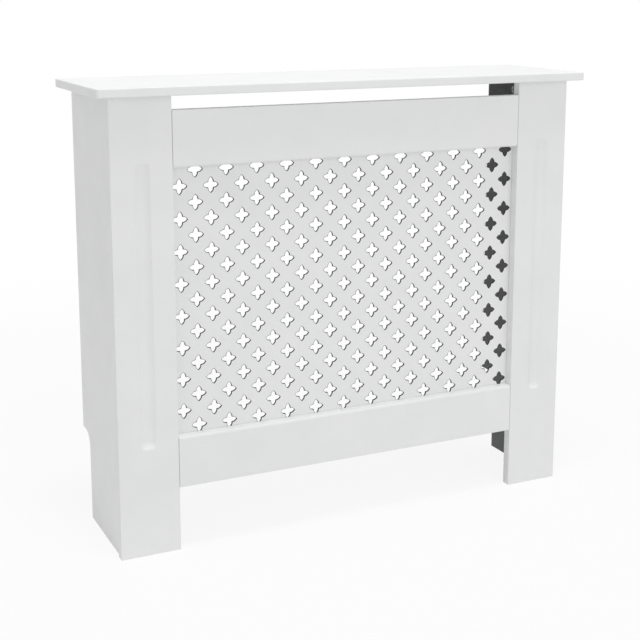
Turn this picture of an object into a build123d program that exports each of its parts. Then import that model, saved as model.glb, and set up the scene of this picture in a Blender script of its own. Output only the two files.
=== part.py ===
from build123d import *
import os

# A radiator cover cabinet in painted fibreboard: a fluted pilaster at each end of the front,
# a rail above and below the pierced grille, two side panels notched for the skirting board,
# and an overhanging top. The back and the bottom are open, and it stands on its pilasters
# and side panels. X runs along the front, Y runs from the front to the back, and Z is up.
# The origin is on the floor below the middle of the top board.

# Overall sizes, in millimetres
FRONT_WIDTH = 900.0  # across the outer edges of the pilasters
BODY_HEIGHT = 800.0  # from the floor to the underside of the top board
SIDE_DEPTH = 227.0  # a side panel, from the back of its pilaster to the wall
FRAME_THICKNESS = 18.0  # pilasters and rails
SIDE_THICKNESS = 15.0
SIDE_INSET = 3.0  # a side panel's outer face, in from the pilaster's outer edge

# Top board
BOARD_THICKNESS = 15.0
BOARD_END_OVERHANG = 25.0
BOARD_FRONT_OVERHANG = 22.0
BOARD_CORNER_RADIUS = 6.0
BOARD_EDGE_CHAMFER = 1.5

# Front frame
PILASTER_WIDTH = 108.0
FLUTE_WIDTH = 28.0
FLUTE_DEPTH = 5.0
FLUTE_FOOT = 193.0  # from the floor to the flute's lower end
FLUTE_HEAD = 110.0  # from the flute's upper end to the top of the pilaster
EDGE_CHAMFER = 0.8
TOP_SLOT = 25.0  # open gap between the top rail and the board
TOP_RAIL_HEIGHT = 97.0
BOTTOM_GAP = 115.0  # open gap between the floor and the bottom rail
BOTTOM_RAIL_HEIGHT = 92.0
RAIL_EDGE_RADIUS = 3.0  # the rails' front edges along the grille

# Grille
GRILLE_THICKNESS = 3.0
GRILLE_END_LAP = 14.0  # behind each pilaster
GRILLE_RAIL_LAP = 25.0  # behind each rail
FOIL_PITCH = 56.6  # between like holes in one row; every other row and column is half a step on
FOIL_REACH = 13.3  # from a hole's centre to the end of a lobe
FOIL_END_HALF_WIDTH = 3.7  # half of a lobe's flat end
FOIL_WAIST = 4.6  # from a hole's centre lines to the corner between two lobes
FOIL_EDGE_MARGIN = 2.5  # least wood between the end columns and the pilasters
PATTERN_RISE = 2.5  # the pattern's middle above the window's middle

# Skirting notch at the lower back corner of each side panel
NOTCH_DEPTH = 45.0
NOTCH_HEIGHT = 165.0
NOTCH_RADIUS = 27.0

# Cam fittings: a bolt in one panel, gripped by a turning cam in the side panel
CAM_SIDES = 16  # a cam is drawn with this many sides, and its cavity with the next
CAVITY_SIDES = 10
CAM_RADIUS = 7.4
CAM_LENGTH = 12.2
CAM_CLEARANCE = 0.1  # round the cam in its bore
CAM_BORE_DEPTH = 12.5
CAM_SETBACK = 29.0  # from the joint to the cam's axis
CAVITY_RADIUS = 5.8
CAVITY_CLEARANCE = 0.6  # above and below the bolt's head
CAVITY_OFFSET = 0.5  # eccentricity, which draws the bolt in over the cam's half turn
SLOT_CLEARANCE = 0.4
SLOT_BEYOND_AXIS = 3.3  # the slot's end past the cam's axis, where the web begins
RECESS_LENGTH = 8.0
RECESS_WIDTH = 1.8
RECESS_DEPTH = 1.8
BOLT_RADIUS = 2.3
BOLT_HEAD_RADIUS = 3.4
BOLT_HEAD_LENGTH = 2.4
BOLT_HEAD_START = 0.8  # from the cam's axis to the end of the bolt
BOLT_THREAD_LENGTH = 11.0
BOLT_CHANNEL_CLEARANCE = 1.2
CAM_SPACING = 44.0

# Dowels, screws and wall brackets
PIN_SIDES = 6  # dowels, small shanks and their hidden holes are drawn as hexagons
PIN_CLEARANCE = 0.1
DOWEL_RADIUS = 4.0
DOWEL_DEPTH_IN_EDGE = 22.0  # in the end or edge of a panel
DOWEL_DEPTH_IN_FACE = 10.0  # in the face of a panel
PIN_END_GAP = 0.6
TOP_DOWEL_SPACING = 190.0
FRONT_DOWEL_SPACING = 330.0
RAIL_DOWEL_MARGIN = 24.0  # from a rail's long edges to its dowels
SCREW_RADIUS = 1.8
SCREW_LENGTH = 11.0
SCREW_HEAD_RADIUS = 3.8
SCREW_HEAD_HEIGHT = 2.2
SCREW_HOLE_RADIUS = 2.25
GRILLE_SCREWS_PER_RAIL = 3
GRILLE_SCREW_EDGE = 8.0  # from the grille's long edge to its screws
GRILLE_SCREW_END = 36.0  # from the grille's short edge to its end screws
BRACKET_LEG = 25.0
BRACKET_WIDTH = 18.0
BRACKET_THICKNESS = 2.0
BRACKET_CORNER = 4.0  # cut off each free corner
BRACKET_HOLE_INSET = 15.0  # from the bracket's bend to its holes

# Places worked out from the sizes
BOARD_DEPTH = BOARD_FRONT_OVERHANG + FRAME_THICKNESS + SIDE_DEPTH
FRONT_Y = BOARD_FRONT_OVERHANG - BOARD_DEPTH / 2
FRAME_BACK_Y = FRONT_Y + FRAME_THICKNESS
REAR_Y = BOARD_DEPTH / 2
OUTER_X = FRONT_WIDTH / 2
INNER_X = OUTER_X - PILASTER_WIDTH
SIDE_OUTER_X = OUTER_X - SIDE_INSET
SIDE_INNER_X = SIDE_OUTER_X - SIDE_THICKNESS
SIDE_MIDDLE_X = SIDE_OUTER_X - SIDE_THICKNESS / 2
SIDE_MIDDLE_Y = FRAME_BACK_Y + SIDE_DEPTH / 2
TOP_RAIL_TOP = BODY_HEIGHT - TOP_SLOT
WINDOW_TOP = TOP_RAIL_TOP - TOP_RAIL_HEIGHT
WINDOW_BOTTOM = BOTTOM_GAP + BOTTOM_RAIL_HEIGHT
GRILLE_HALF_WIDTH = INNER_X + GRILLE_END_LAP
GRILLE_TOP = WINDOW_TOP + GRILLE_RAIL_LAP
GRILLE_BOTTOM = WINDOW_BOTTOM - GRILLE_RAIL_LAP
GRILLE_BACK_Y = FRAME_BACK_Y + GRILLE_THICKNESS
BRACKET_Z = (WINDOW_TOP + TOP_RAIL_TOP) / 2  # hidden behind the top rail


def block(low, high):
    """A rectangular block between two opposite corners."""
    size = [top - bottom for bottom, top in zip(low, high)]
    middle = [(top + bottom) / 2 for bottom, top in zip(low, high)]
    return Pos(*middle) * Box(*size)


def pin(start, direction, length, radius):
    """A pin, or the cutter of its hole, from a point along a direction."""
    plane = Plane(origin=start, z_dir=direction)
    return extrude(plane * RegularPolygon(radius, PIN_SIDES), amount=length)


def spread(middle, spacing, count):
    """Evenly spaced places about a middle."""
    return [middle + spacing * (i - (count - 1) / 2) for i in range(count)]


def to_right(shape):
    """The left-hand piece's mirror image, on the right."""
    return mirror(shape, about=Plane.YZ)


def group(shapes):
    """Separate solids kept together in one node."""
    return Compound(children=[solid for shape in shapes for solid in shape.solids()])


# ---- Dowels ----------------------------------------------------------------


class Dowel:
    """A dowel across a joint: deep in an edge on one side, shallow in a face on the other."""

    def __init__(self, at, into_face):
        self.at = Vector(*at)
        self.into_face = Vector(*into_face)

    def _along(self, in_edge, in_face, radius):
        start = self.at - self.into_face * in_edge
        return pin(start, self.into_face, in_edge + in_face, radius)

    def solid(self):
        return self._along(
            DOWEL_DEPTH_IN_EDGE - PIN_END_GAP,
            DOWEL_DEPTH_IN_FACE - PIN_END_GAP,
            DOWEL_RADIUS,
        )

    def hole(self):
        return self._along(
            DOWEL_DEPTH_IN_EDGE, DOWEL_DEPTH_IN_FACE, DOWEL_RADIUS + PIN_CLEARANCE
        )


def top_dowels():
    """Dowels from the left side panel's top edge into the board."""
    places = spread(SIDE_MIDDLE_Y, TOP_DOWEL_SPACING, 2)
    return [Dowel((-SIDE_MIDDLE_X, y, BODY_HEIGHT), (0, 0, 1)) for y in places]


def front_dowels():
    """Dowels from the left side panel's front edge into its pilaster."""
    heights = spread(BODY_HEIGHT / 2, FRONT_DOWEL_SPACING, 3)
    return [Dowel((-SIDE_MIDDLE_X, FRAME_BACK_Y, z), (0, -1, 0)) for z in heights]


def rail_dowels(bottom, top):
    """Dowels from a rail's left end into the pilaster's inner edge."""
    middle_y = FRONT_Y + FRAME_THICKNESS / 2
    heights = (bottom + RAIL_DOWEL_MARGIN, top - RAIL_DOWEL_MARGIN)
    return [Dowel((-INNER_X, middle_y, z), (-1, 0, 0)) for z in heights]


TOP_DOWELS = top_dowels()
FRONT_DOWELS = front_dowels()
TOP_RAIL_DOWELS = rail_dowels(WINDOW_TOP, TOP_RAIL_TOP)
BOTTOM_RAIL_DOWELS = rail_dowels(BOTTOM_GAP, WINDOW_BOTTOM)


# ---- Cam fittings ----------------------------------------------------------
# Each is drawn in its own plane: the origin is on the side panel's inner face, on the cam's
# axis, z points out of the face, and x points up at the board that the bolt is screwed into.


def cam_planes():
    """The planes of the left side panel's cams, by name."""
    height = BODY_HEIGHT - CAM_SETBACK
    places = spread(SIDE_MIDDLE_Y, CAM_SPACING, 2)
    return {
        name: Plane(origin=(-SIDE_INNER_X, y, height), x_dir=(0, 0, 1), z_dir=(1, 0, 0))
        for name, y in zip(("front", "rear"), places)
    }


CAM_PLANES = cam_planes()
BOLT_LEVEL = -SIDE_THICKNESS / 2
BELOW_FACE = (Align.CENTER, Align.CENTER, Align.MAX)


def along_bolt(start, length, radius):
    """A pin on the bolt's axis, from a distance off the cam's axis."""
    return pin((start, 0, BOLT_LEVEL), (1, 0, 0), length, radius)


def cam():
    """A cam, locked on its bolt. The bolt's head lies in an eccentric cavity, its neck passes
    along a slot as the cam makes its half turn, and the entry at the slot's far end is wide
    enough to let the head out."""
    body = extrude(RegularPolygon(CAM_RADIUS, CAM_SIDES), amount=-CAM_LENGTH)
    cavity_half_height = BOLT_HEAD_RADIUS + CAVITY_CLEARANCE
    cavity = extrude(RegularPolygon(CAVITY_RADIUS, CAVITY_SIDES), cavity_half_height, both=True)
    slot_low = (-CAM_RADIUS, -CAM_RADIUS, BOLT_LEVEL - BOLT_RADIUS - SLOT_CLEARANCE)
    slot_high = (CAM_RADIUS, SLOT_BEYOND_AXIS, BOLT_LEVEL + BOLT_RADIUS + SLOT_CLEARANCE)
    entry_half = BOLT_HEAD_RADIUS + SLOT_CLEARANCE
    entry_low = (-CAM_RADIUS, -entry_half, BOLT_LEVEL - entry_half)
    entry_high = (0, SLOT_BEYOND_AXIS, BOLT_LEVEL + entry_half)
    recess = Box(RECESS_LENGTH, RECESS_WIDTH, RECESS_DEPTH, align=BELOW_FACE)
    recess += Box(RECESS_WIDTH, RECESS_LENGTH, RECESS_DEPTH, align=BELOW_FACE)
    body -= Pos(-CAVITY_OFFSET, 0, BOLT_LEVEL) * cavity
    return body - block(slot_low, slot_high) - block(entry_low, entry_high) - recess


def cam_bolt():
    """A bolt: a head inside the cam, and a shank that is screwed into the board."""
    head = along_bolt(BOLT_HEAD_START, BOLT_HEAD_LENGTH, BOLT_HEAD_RADIUS)
    shank_length = CAM_SETBACK - BOLT_HEAD_START + BOLT_THREAD_LENGTH
    return head + along_bolt(BOLT_HEAD_START, shank_length, BOLT_RADIUS)


def cam_bore():
    """The cutter of a cam's bore and of the channel that its bolt passes along."""
    bore = Cylinder(CAM_RADIUS + CAM_CLEARANCE, CAM_BORE_DEPTH, align=BELOW_FACE)
    return bore + along_bolt(0, CAM_SETBACK, BOLT_RADIUS + BOLT_CHANNEL_CLEARANCE)


def bolt_hole():
    """The cutter of the hole for a bolt's thread in the board."""
    return along_bolt(
        CAM_SETBACK, BOLT_THREAD_LENGTH + PIN_END_GAP, BOLT_RADIUS + PIN_CLEARANCE
    )


# ---- Screws and wall brackets ----------------------------------------------


def screw(seat, direction):
    """A pan-head screw whose head sits on a point and whose shank runs along a direction."""
    back = Vector(*direction) * -1
    head = pin(seat, back, SCREW_HEAD_HEIGHT, SCREW_HEAD_RADIUS)
    return head + pin(seat, direction, SCREW_LENGTH, SCREW_RADIUS)


def screw_hole(seat, direction, radius):
    """The cutter of a screw's hole, a little longer than the screw."""
    return pin(seat, direction, SCREW_LENGTH + PIN_END_GAP, radius)


def grille_screw_seats():
    """Points on the grille's back where the screws' heads sit, for each rail."""
    heights = (GRILLE_BOTTOM + GRILLE_SCREW_EDGE, GRILLE_TOP - GRILLE_SCREW_EDGE)
    span = 2 * (GRILLE_HALF_WIDTH - GRILLE_SCREW_END)
    places = spread(0, span / (GRILLE_SCREWS_PER_RAIL - 1), GRILLE_SCREWS_PER_RAIL)
    return [[(x, GRILLE_BACK_Y, z) for x in places] for z in heights]


BOTTOM_SCREW_SEATS, TOP_SCREW_SEATS = grille_screw_seats()
FORWARD = (0, -1, 0)
LEFTWARD = (-1, 0, 0)
BRACKET_FACE_X = -SIDE_INNER_X + BRACKET_THICKNESS  # the left bracket's leg, on its free side
BRACKET_SCREW_SEAT = (BRACKET_FACE_X, REAR_Y - BRACKET_HOLE_INSET, BRACKET_Z)


def left_bracket():
    """A steel angle on the left side panel's inner face at the wall, with one hole for the
    screw into the panel and one for a wall screw."""
    low_z = BRACKET_Z - BRACKET_WIDTH / 2
    high_z = BRACKET_Z + BRACKET_WIDTH / 2
    panel_leg = block((-SIDE_INNER_X, REAR_Y - BRACKET_LEG, low_z), (BRACKET_FACE_X, REAR_Y, high_z))
    wall_leg = block(
        (BRACKET_FACE_X, REAR_Y - BRACKET_THICKNESS, low_z),
        (-SIDE_INNER_X + BRACKET_LEG, REAR_Y, high_z),
    )
    panel_corners = panel_leg.edges().filter_by(Axis.X).group_by(Axis.Y)[0]
    wall_corners = wall_leg.edges().filter_by(Axis.Y).group_by(Axis.X)[-1]
    angle = chamfer(panel_corners, BRACKET_CORNER) + chamfer(wall_corners, BRACKET_CORNER)
    panel_hole = pin(BRACKET_SCREW_SEAT, LEFTWARD, BRACKET_THICKNESS, SCREW_HOLE_RADIUS)
    wall_hole_place = Pos(-SIDE_INNER_X + BRACKET_HOLE_INSET, REAR_Y, BRACKET_Z)
    wall_hole = wall_hole_place * Rot(90, 0, 0) * Cylinder(SCREW_HOLE_RADIUS, BRACKET_LEG)
    return angle - panel_hole - wall_hole


# ---- Panels ----------------------------------------------------------------


def top_board():
    """The overhanging top, with rounded front corners and eased edges."""
    half_width = OUTER_X + BOARD_END_OVERHANG
    board = block(
        (-half_width, -BOARD_DEPTH / 2, BODY_HEIGHT),
        (half_width, REAR_Y, BODY_HEIGHT + BOARD_THICKNESS),
    )
    front_corners = board.edges().filter_by(Axis.Z).group_by(Axis.Y)[0]
    board = fillet(front_corners, BOARD_CORNER_RADIUS)
    rear_edges = board.edges().filter_by(Axis.X).group_by(Axis.Y)[-1]
    rims = board.faces().filter_by(Axis.Z).edges() - rear_edges
    board = chamfer(rims, BOARD_EDGE_CHAMFER)
    cutters = [dowel.hole() for dowel in TOP_DOWELS]
    cutters += [plane * bolt_hole() for plane in CAM_PLANES.values()]
    for cutter in cutters:
        board -= cutter
        board -= to_right(cutter)
    return board


def notch():
    """The cutter of a side panel's skirting notch, with a rounded inner corner."""
    past = SIDE_THICKNESS
    cutter = block(
        (-SIDE_OUTER_X - past, REAR_Y - NOTCH_DEPTH, -past),
        (-SIDE_INNER_X + past, REAR_Y + past, NOTCH_HEIGHT),
    )
    inner_corner = cutter.edges().filter_by(Axis.X).group_by(Axis.Y)[0].sort_by(Axis.Z)[-1]
    return fillet(inner_corner, NOTCH_RADIUS)


def left_side_panel():
    """The left side panel, bored for its cams, its dowels and its bracket's screw."""
    panel = block((-SIDE_OUTER_X, FRAME_BACK_Y, 0), (-SIDE_INNER_X, REAR_Y, BODY_HEIGHT))
    panel -= notch()
    for dowel in TOP_DOWELS + FRONT_DOWELS:
        panel -= dowel.hole()
    for plane in CAM_PLANES.values():
        panel -= plane * cam_bore()
    return panel - screw_hole(BRACKET_SCREW_SEAT, LEFTWARD, SCREW_RADIUS + PIN_CLEARANCE)


def flute():
    """The cutter of a pilaster's flute: a shallow round groove with rounded ends, such as a
    round-nosed cutter leaves."""
    nose_radius = (FLUTE_WIDTH**2 / 4 + FLUTE_DEPTH**2) / (2 * FLUTE_DEPTH)
    axis_x = -OUTER_X + PILASTER_WIDTH / 2
    axis_y = FRONT_Y + FLUTE_DEPTH - nose_radius
    low = FLUTE_FOOT + FLUTE_WIDTH / 2
    high = BODY_HEIGHT - FLUTE_HEAD - FLUTE_WIDTH / 2
    groove = Pos(axis_x, axis_y, (low + high) / 2) * Cylinder(nose_radius, high - low)
    for z in (low, high):
        groove += Pos(axis_x, axis_y, z) * Sphere(nose_radius)
    return groove


def left_pilaster():
    """The left pilaster, with its flute."""
    pilaster = block((-OUTER_X, FRONT_Y, 0), (-INNER_X, FRAME_BACK_Y, BODY_HEIGHT))
    front_edges = pilaster.edges().filter_by(Axis.Z).group_by(Axis.Y)[0]
    pilaster = chamfer(front_edges, EDGE_CHAMFER) - flute()
    for dowel in FRONT_DOWELS + TOP_RAIL_DOWELS + BOTTOM_RAIL_DOWELS:
        pilaster -= dowel.hole()
    return pilaster


def rail(bottom, top, window_side, dowels, seats):
    """A rail between the pilasters, rounded along its edge at the grille."""
    board = block((-INNER_X, FRONT_Y, bottom), (INNER_X, FRAME_BACK_Y, top))
    front_ends = board.edges().filter_by(Axis.Z).group_by(Axis.Y)[0]
    board = chamfer(front_ends, EDGE_CHAMFER)
    front_edges = board.edges().filter_by(Axis.X).group_by(Axis.Y)[0].sort_by(Axis.Z)
    board = fillet(front_edges[window_side], RAIL_EDGE_RADIUS)
    for dowel in dowels:
        board -= dowel.hole()
        board -= to_right(dowel.hole())
    for seat in seats:
        board -= screw_hole(seat, FORWARD, SCREW_RADIUS + PIN_CLEARANCE)
    return board


def quatrefoil():
    """The outline of one hole: four lobes that meet at sharp inner corners."""
    lobe = [
        (FOIL_WAIST, -FOIL_WAIST),
        (FOIL_REACH, -FOIL_END_HALF_WIDTH),
        (FOIL_REACH, FOIL_END_HALF_WIDTH),
    ]
    corners = [Vector(x, y).rotate(Axis.Z, 90 * turn) for turn in range(4) for x, y in lobe]
    return make_face(Polyline(*corners, close=True))


def foil_centres():
    """Centres of the holes: a staggered grid, with the rows whose centres show in the window
    and the columns that fit whole between the pilasters."""
    step = FOIL_PITCH / 2
    fitting_half_width = INNER_X - FOIL_REACH - FOIL_EDGE_MARGIN
    half_columns = int(fitting_half_width / step + 0.5)
    half_rows = int((WINDOW_TOP - WINDOW_BOTTOM) / 2 / step)
    middle_z = (WINDOW_TOP + WINDOW_BOTTOM) / 2 + PATTERN_RISE
    return [
        ((column + 0.5) * step, middle_z + row * step)
        for column in range(-half_columns, half_columns)
        for row in range(-half_rows, half_rows + 1)
        if (column + half_columns + row) % 2
    ]


def grille():
    """The pierced panel, held behind the rails by screws."""
    face_plane = Plane(origin=(0, FRAME_BACK_Y, 0), x_dir=(1, 0, 0), z_dir=(0, -1, 0))
    height = GRILLE_TOP - GRILLE_BOTTOM
    middle_z = (GRILLE_TOP + GRILLE_BOTTOM) / 2
    sheet = Pos(0, middle_z) * Rectangle(2 * GRILLE_HALF_WIDTH, height)
    hole = quatrefoil()
    sheet -= [Pos(x, z) * hole for x, z in foil_centres()]
    panel = extrude(face_plane * sheet, amount=-GRILLE_THICKNESS)
    for seat in BOTTOM_SCREW_SEATS + TOP_SCREW_SEATS:
        panel -= screw_hole(seat, FORWARD, SCREW_HOLE_RADIUS)
    return panel


# ---- The nodes -------------------------------------------------------------


def nodes():
    """Every node's name and shape."""
    panel = left_side_panel()
    pilaster = left_pilaster()
    shapes = {
        "top_board": top_board(),
        "left_side_panel": panel,
        "right_side_panel": to_right(panel),
        "left_pilaster": pilaster,
        "right_pilaster": to_right(pilaster),
        "top_rail": rail(WINDOW_TOP, TOP_RAIL_TOP, 0, TOP_RAIL_DOWELS, TOP_SCREW_SEATS),
        "bottom_rail": rail(
            BOTTOM_GAP, WINDOW_BOTTOM, -1, BOTTOM_RAIL_DOWELS, BOTTOM_SCREW_SEATS
        ),
        "grille_panel": grille(),
    }
    for name, plane in CAM_PLANES.items():
        shapes[f"left_{name}_cam"] = plane * cam()
        shapes[f"right_{name}_cam"] = to_right(plane * cam())
    bolts = [plane * cam_bolt() for plane in CAM_PLANES.values()]
    shapes["left_cam_bolts"] = group(bolts)
    shapes["right_cam_bolts"] = group(to_right(bolt) for bolt in bolts)
    dowels = {
        "top": TOP_DOWELS,
        "front": FRONT_DOWELS,
        "top_rail": TOP_RAIL_DOWELS,
        "bottom_rail": BOTTOM_RAIL_DOWELS,
    }
    for place, places in dowels.items():
        left = [dowel.solid() for dowel in places]
        shapes[f"left_{place}_dowels"] = group(left)
        shapes[f"right_{place}_dowels"] = group(to_right(dowel) for dowel in left)
    bracket = left_bracket()
    bracket_screw = screw(BRACKET_SCREW_SEAT, LEFTWARD)
    shapes["wall_brackets"] = group([bracket, to_right(bracket)])
    shapes["bracket_screws"] = group([bracket_screw, to_right(bracket_screw)])
    shapes["top_rail_screws"] = group(screw(seat, FORWARD) for seat in TOP_SCREW_SEATS)
    shapes["bottom_rail_screws"] = group(screw(seat, FORWARD) for seat in BOTTOM_SCREW_SEATS)
    return shapes


os.makedirs("parts", exist_ok=True)
for node, shape in nodes().items():
    export_step(shape, f"parts/{node}.step")
    print(node, len(shape.solids()), "solids", round(shape.volume), "mm3")
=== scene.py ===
import bmesh
import bpy
import numpy as np
from bpy.props import FloatProperty, FloatVectorProperty, IntProperty, PointerProperty
from bpy.types import NodeSocket, Operator, Panel, PropertyGroup
from mathutils import Matrix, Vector
from mathutils.geometry import tessellate_polygon


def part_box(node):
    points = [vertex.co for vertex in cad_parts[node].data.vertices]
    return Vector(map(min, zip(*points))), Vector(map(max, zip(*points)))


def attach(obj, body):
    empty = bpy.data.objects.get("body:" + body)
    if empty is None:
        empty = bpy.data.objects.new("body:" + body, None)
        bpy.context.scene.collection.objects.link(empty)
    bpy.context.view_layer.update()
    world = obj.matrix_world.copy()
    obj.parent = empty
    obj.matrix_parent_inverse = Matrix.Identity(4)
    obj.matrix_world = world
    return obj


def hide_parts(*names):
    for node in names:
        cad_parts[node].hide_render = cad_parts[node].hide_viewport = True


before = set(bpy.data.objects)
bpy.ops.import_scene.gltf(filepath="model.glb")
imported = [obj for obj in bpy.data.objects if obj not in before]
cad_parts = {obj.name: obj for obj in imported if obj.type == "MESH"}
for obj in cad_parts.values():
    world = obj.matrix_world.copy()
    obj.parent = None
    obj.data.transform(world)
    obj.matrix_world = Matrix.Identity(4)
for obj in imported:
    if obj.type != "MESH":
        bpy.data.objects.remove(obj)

bl_info = {
    "name": "Radiator Cover Cabinet",
    "version": (1, 0, 0),
    "blender": (4, 5, 0),
    "location": "View3D > Sidebar > Cabinet",
    "description": "A painted fibreboard radiator cover with a pierced quatrefoil grille",
    "category": "Add Mesh",
}

# Lengths are in metres, in the frame's own axes: X along the front, Y to the back, Z up.
MM = 0.001
X, Y, Z = 0, 1, 2
CABINET = "cabinet"
SIDES = ("left", "right")
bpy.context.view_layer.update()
WELD = 0.002 * MM  # points nearer than this become one
SHARP = np.radians(35)  # a steeper turn between two faces shows as an edge
GRADE_STEPS = 3  # faces over an eighth of a turn on a block's rounded edge
EASE_STEPS = 4  # faces over a quarter turn on a panel's eased edge
CORNER_STEPS = 8  # faces over a rounded corner of an outline
HOLE_STEPS, BORE_STEPS, BOLT_STEPS, SCREW_STEPS, CAM_STEPS = 32, 48, 32, 40, 96  # faces round each
GROOVE_STEPS = 6  # faces across one of a dowel's grooves
BEND_STEPS = 6  # faces over a bracket's bend
PAINTED, SHADED_INSIDE, CUT_WALLS_SHADED = 0, 1, 2  # the finishes of a panel: white paint and a dark painted shade on its inner faces; and of the grille's cut walls, their own darker tone deepened with painted shade
WHITE = (1, 1, 1, 1)


# ---- What a user may change ----


def number(name, description, value, least=0.0, kind=FloatProperty, **unit):
    """A number, or several of one kind, in a unit if there is one."""
    return kind(name=name, description=description, default=value, min=least, **unit)


def length(name, description, millimetres):
    """A length that is written here in millimetres."""
    metres = millimetres * MM
    return number(name, description, metres, precision=5, subtype="DISTANCE", unit="LENGTH")


def count(name, description, value, least):
    """A count of like things."""
    return number(name, description, value, least, IntProperty)


def colour(name, description, value):
    """A colour."""
    return number(
        name, description, value, kind=FloatVectorProperty, max=1.0, size=3, subtype="COLOR"
    )


class CabinetPanelSizes(PropertyGroup):
    board_corner: length("Board corner", "Radius of the board's front corners", 6.0)
    board_edge: length("Board edge", "Rounding of the board's edges", 1.8)
    panel_corner: length("Panel corner", "Radius of a side panel's corners", 0.9)
    panel_edge: length("Panel edge", "Rounding of a side panel's edges", 0.7)
    notch_depth: length("Notch depth", "Skirting notch, from the wall", 45.0)
    notch_height: length("Notch height", "Skirting notch, from the floor", 165.0)
    notch_radius: length("Notch radius", "Rounding of the notch's inner corner", 27.0)
    frame_edge: length("Frame edge", "Rounding of pilaster and rail edges", 0.9)
    window_edge: length("Window edge", "Rounding of the rails along the grille", 5.0)
    rail_gap: length("Rail gap", "Open joint between a rail and a pilaster", 0.6)


class CabinetFluteSizes(PropertyGroup):
    width: length("Width", "Width of a pilaster's flute", 28.0)
    depth: length("Depth", "Depth of the flute at its middle", 5.0)
    foot: length("Foot", "Height of the flute's lower end", 193.0)
    head: length("Head", "From the flute's upper end to the pilaster's top", 110.0)
    squareness: number(
        "Squareness", "Shape of the flute's ends: 2 is round, more is squarer", 2.9, 1.0, max=8.0
    )


class CabinetGrilleSizes(PropertyGroup):
    step: length("Step", "Between neighbouring rows and columns of the staggered holes", 28.3)
    rise: length("Rise", "The pattern's middle above the window's middle", 2.5)
    columns: count("Columns", "Columns of the lattice", 24, 2)
    rows: count("Rows", "Rows of the lattice", 17, 1)
    reach: length("Reach", "From a hole's centre to the tip of a lobe", 13.3)
    belly: length("Belly", "From a hole's centre to where a lobe begins to narrow", 8.6)
    belly_width: length("Belly width", "Half of a lobe's width there", 4.15)
    waist: length("Waist", "From a hole's centre lines to the corner between lobes", 4.7)
    # painted shade: a dark ring round each hole stands for the shade on the hole's edge
    dark_edge: length("Dark edge", "Width of the edge that the paint leaves round a hole", 0.9)


class CabinetFittingSizes(PropertyGroup):
    bore_radius: length("Bore radius", "Radius of a cam's bore", 7.5)
    bore_depth: length("Bore depth", "Depth of a cam's bore", 12.5)
    cam_rim: length("Cam rim", "Width of the raised rim on a cam's face", 1.0)
    cam_dish: length("Cam dish", "Depth of the face inside the rim", 0.35)
    cross_length: length("Cross length", "Length of a cam's cross recess", 8.0)
    cross_width: length("Cross width", "Width of a cam's cross recess", 1.8)
    cross_depth: length("Cross depth", "Depth of a cam's cross recess", 1.8)
    thread_pitch: length("Thread pitch", "Pitch of the screws' threads", 1.35)
    thread_height: length("Thread height", "Height of the screws' threads", 0.45)
    dowel_groove: length("Dowel groove", "Depth of a dowel's glue grooves", 0.3)
    dowel_chamfer: length("Dowel chamfer", "Chamfer at a dowel's ends", 1.2)
    dowel_grooves: count("Dowel grooves", "Glue grooves round a dowel", 16, 3)
    bend_radius: length("Bend radius", "Outer radius of a wall bracket's bend", 3.2)
    bracket_thickness: length("Bracket thickness", "Thickness of a wall bracket", 2.0)
    bracket_corner: length("Bracket corner", "Radius of a bracket's free corners", 4.0)
    bracket_hole: length("Bracket hole", "Radius of a bracket's holes", 2.25)
    hole_inset: length("Hole inset", "From a bracket's bend to its holes", 15.0)


class CabinetColours(PropertyGroup):
    paint: colour("Paint", "Satin paint", (0.865, 0.868, 0.868))
    paint_shade: colour("Paint shade", "Thinner places in the paint", (0.835, 0.84, 0.842))
    # painted shade: the inner faces get a dark colour that stands for the shade inside the cabinet,
    # and the lighter colour stands for painted light bounced from the floor
    primer: colour("Primer", "Dark primer on the inner faces", (0.052, 0.054, 0.055))
    primer_light: colour("Primer light", "The primer where it is thin", (0.20, 0.203, 0.201))
    # the hole walls' dark colour is partly the cut board's own tone and partly painted shade
    cut_edge: colour("Cut edge", "Sealed walls of the grille's holes", (0.030, 0.031, 0.032))
    # painted shade: the zinc is darkened for the cams' place inside the cabinet
    zinc: colour("Zinc", "Cast zinc", (0.27, 0.273, 0.28))
    steel: colour("Steel", "Zinc-plated steel", (0.62, 0.63, 0.64))
    beech: colour("Beech", "Beech between its pores", (0.66, 0.45, 0.27))
    beech_dark: colour("Beech grain", "Beech grain and pores", (0.42, 0.25, 0.13))
    floor: colour("Floor", "The pale floor", (0.86, 0.86, 0.86))


class CabinetStage(PropertyGroup):
    focal: number("Focal length", "Focal length, as a share of the picture's width", 1.9683, 0.1)
    shift: number("Shift", "How far the lens is shifted down", 0.15)
    camera_place: FloatVectorProperty(
        name="Camera",
        description="Where the camera stands",
        default=(-1.0065, -2.0945, 0.9749),
        size=3,
        subtype="XYZ",
        unit="LENGTH",
    )
    camera_turn: number("Turn", "Turn to the right", np.radians(25.245), -np.pi, unit="ROTATION")
    camera_tilt: number("Tilt", "Tilt downwards", np.radians(10.667), -np.pi, unit="ROTATION")
    ambient: number("Ambient", "Even light from all round", 0.637)
    front_lamp: number("Front lamp", "Power of the soft front lamp", 51.0, unit="POWER")
    top_lamp: number("Top lamp", "Power of the soft top lamp", 50.0, unit="POWER")
    floor_veil: number(
        "Floor veil", "How far the floor's shadow is veiled in white", 0.88, max=1.0, subtype="FACTOR"
    )
    floor_reach: length("Floor reach", "Where the floor has faded into the white", 2400.0)


# ---- Surfaces ----
# Panels are drawn in their own u, v and w: u and v span the panel and w is its thickness.

ON_EDGE_YZ = np.array([[0, 1, 0], [0, 0, 1], [1, 0, 0]], float)  # u, v, w lie along Y, Z, X
UPRIGHT_XZ = np.array([[1, 0, 0], [0, 0, 1], [0, -1, 0]], float)  # along X, Z and minus Y


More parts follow.
